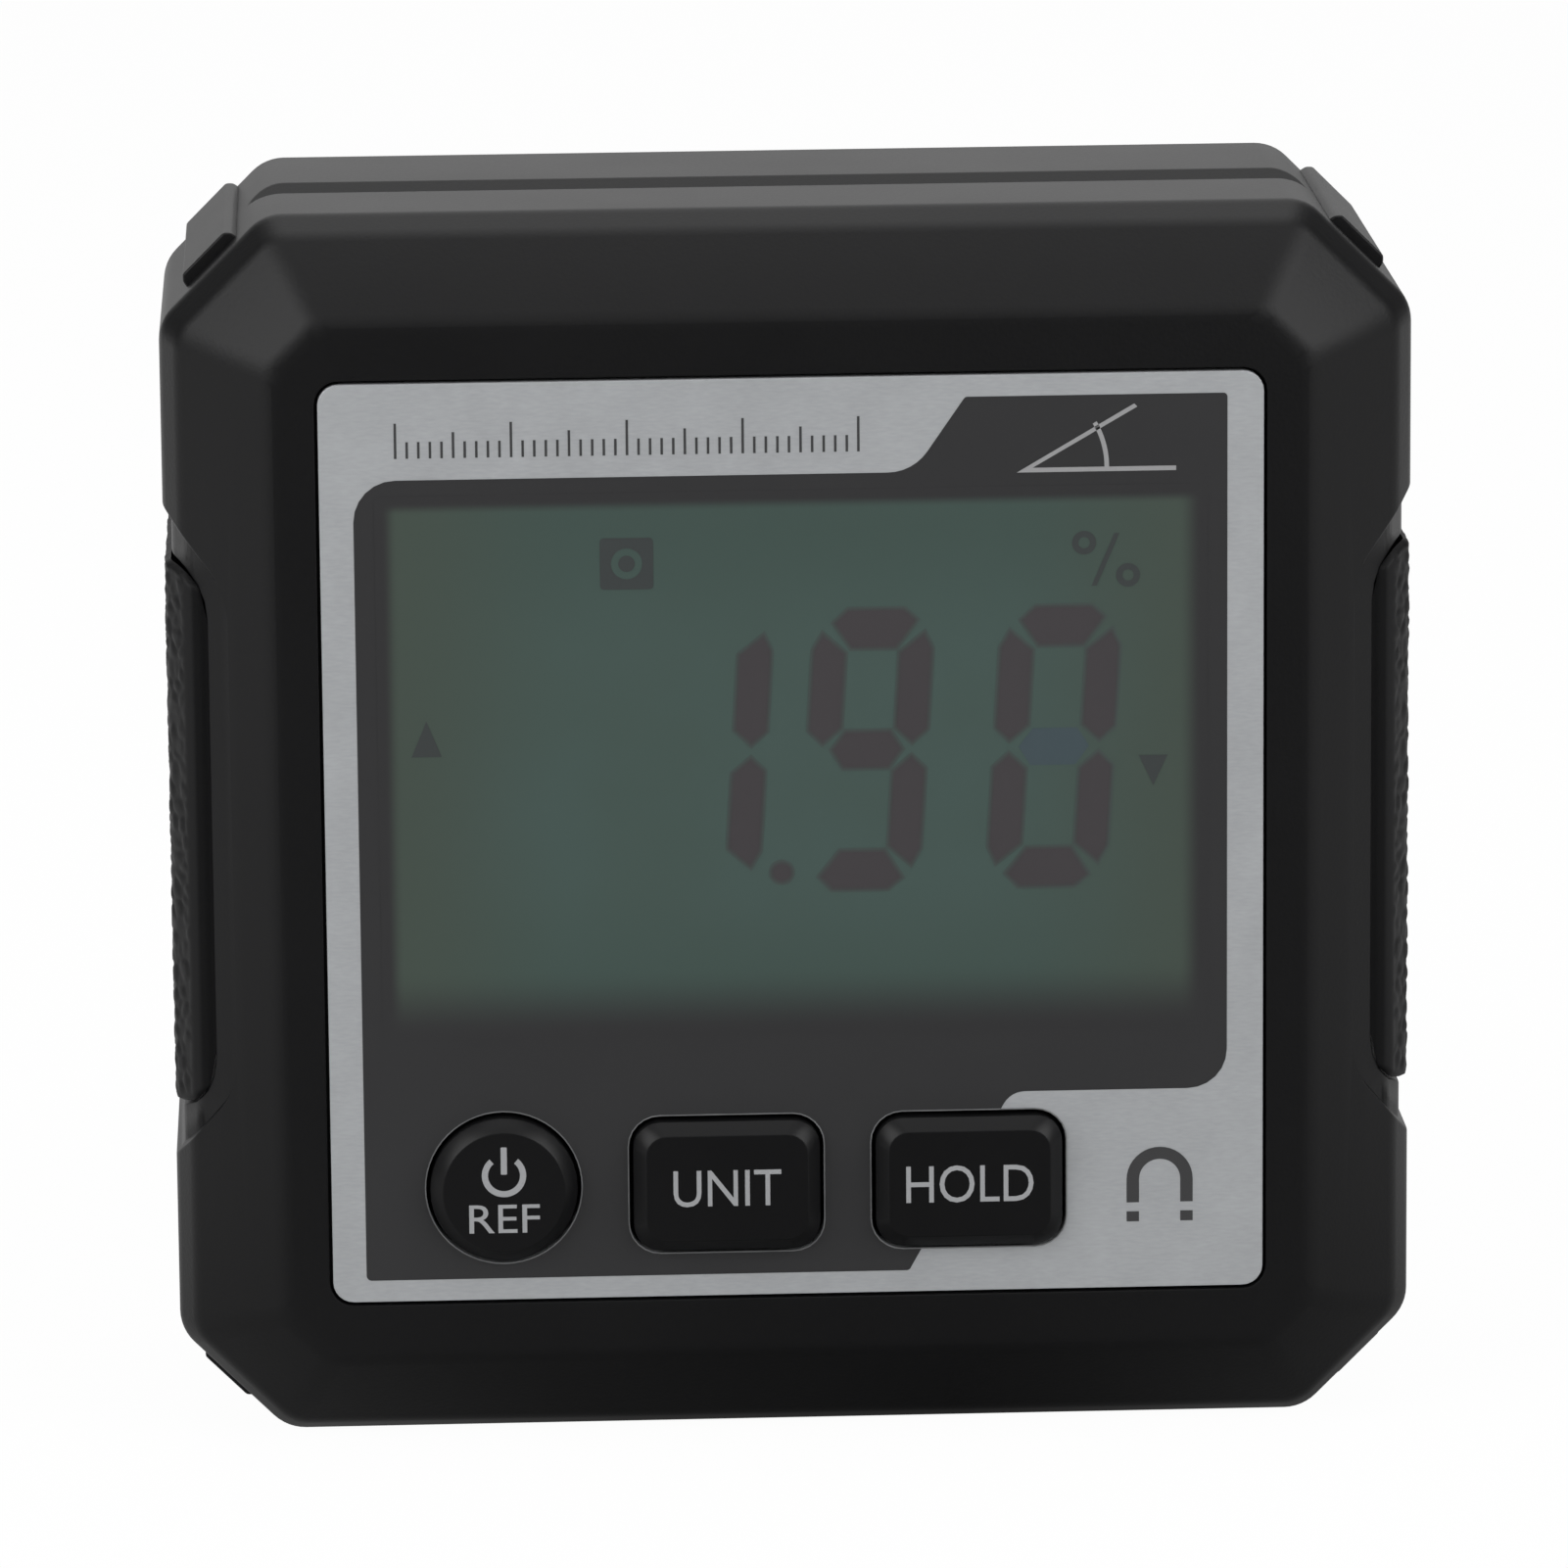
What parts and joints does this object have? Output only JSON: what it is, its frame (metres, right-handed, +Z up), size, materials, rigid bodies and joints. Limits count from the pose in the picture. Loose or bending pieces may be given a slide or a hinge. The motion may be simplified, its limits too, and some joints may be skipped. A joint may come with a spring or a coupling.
{
  "type": "digital angle gauge",
  "caption": "Square level box with a bevelled bezel, segment display, press keys, rubber side grips, grooved magnetic base and rear battery door.",
  "frame": {"origin": "under the middle of the base, at the middle of the overall depth", "axes": "+Z up from the base, front and display towards -Y, +X to the right as the display is read"},
  "size_m": [0.06, 0.025, 0.06],
  "materials": {
    "body_plastic": "fine spark-textured black moulding",
    "cover_plastic": "fine spark-textured black moulding",
    "grip_rubber": "black rubber with a fine leather grain",
    "panel_print": "clear sheet printed silver and dark grey from behind",
    "key_plastic": "black satin keys with pale symbols",
    "switch_body": "stamped steel can",
    "plunger": "moulded plastic",
    "display_glass": "grey-green liquid crystal glass",
    "backlight": "diffuse white light guide",
    "contact_rubber": "layered contact rubber",
    "board": "green solder mask",
    "chip": "moulded black package",
    "magnet": "nickel plate",
    "cell": "plain printed sleeve",
    "contact_metal": "nickel-plated spring steel",
    "screw_steel": "zinc-plated steel"
  },
  "bodies": {
    "case": {"housing": "body_plastic", "rear_cover": "cover_plastic", "grip_left": "grip_rubber", "grip_right": "grip_rubber", "face_panel": "panel_print", "ref_switch": "switch_body", "unit_switch": "switch_body", "hold_switch": "switch_body", "lcd_glass": "display_glass", "backlight": "backlight", "zebra_strip_top": "contact_rubber", "zebra_strip_bottom": "contact_rubber", "circuit_board": "board", "controller_chip": "chip", "tilt_sensor": "contact_metal", "magnet_front_left": "magnet", "magnet_front_right": "magnet", "magnet_rear_left": "magnet", "magnet_rear_right": "magnet", "battery_upper": "cell", "battery_lower": "cell", "bridge_contact": "contact_metal", "positive_contact": "contact_metal", "negative_contact": "contact_metal", "bridge_spring": "contact_metal", "negative_spring": "contact_metal", "cover_screws": "screw_steel", "board_screws": "screw_steel"},
    "ref_button": {"ref_key": "key_plastic", "ref_plunger": "plunger"},
    "unit_button": {"unit_key": "key_plastic", "unit_plunger": "plunger"},
    "hold_button": {"hold_key": "key_plastic", "hold_plunger": "plunger"},
    "door": {"battery_door": "cover_plastic"}
  },
  "joints": [
    {"name": "ref_press", "type": "slide", "parent": "case", "child": "ref_button", "axis": [0, 1, 0], "range_m": [0, 0.0005], "stiffness_N_per_m": 500},
    {"name": "unit_press", "type": "slide", "parent": "case", "child": "unit_button", "axis": [0, 1, 0], "range_m": [0, 0.0005], "stiffness_N_per_m": 500},
    {"name": "hold_press", "type": "slide", "parent": "case", "child": "hold_button", "axis": [0, 1, 0], "range_m": [0, 0.0005], "stiffness_N_per_m": 500},
    {"name": "door_tilt", "type": "hinge", "parent": "case", "child": "door", "pos_m": [0, 0.0125, 0.0175], "axis": [-1, 0, 0], "range_deg": [0, 45]}
  ]
}
